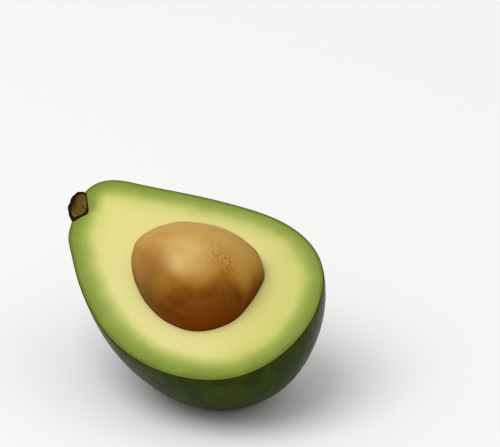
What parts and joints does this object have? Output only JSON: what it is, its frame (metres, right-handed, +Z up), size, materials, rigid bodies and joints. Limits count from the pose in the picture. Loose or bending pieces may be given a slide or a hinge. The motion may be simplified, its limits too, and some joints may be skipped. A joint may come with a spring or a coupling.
{
  "type": "avocado half",
  "caption": "Pear-shaped avocado half cut lengthwise, with thin dark skin, pale flesh, its whole seed sitting in the cut face and a short stem button.",
  "frame": {"origin": "middle of the small flat spot in the skin that the half rests on", "axes": "+X along the fruit, from the stem end towards the blossom end, which dips; +Z up, out of the resting spot; the cut face looks up and leans towards -Y"},
  "size_m": [0.1044, 0.0697, 0.0588],
  "materials": {
    "skin": "gloss",
    "flesh": "satin",
    "seed": "satin",
    "stem": "matte"
  },
  "bodies": {
    "root": {"skin": "skin", "flesh": "flesh", "seed": "seed", "stem": "stem"}
  },
  "joints": []
}
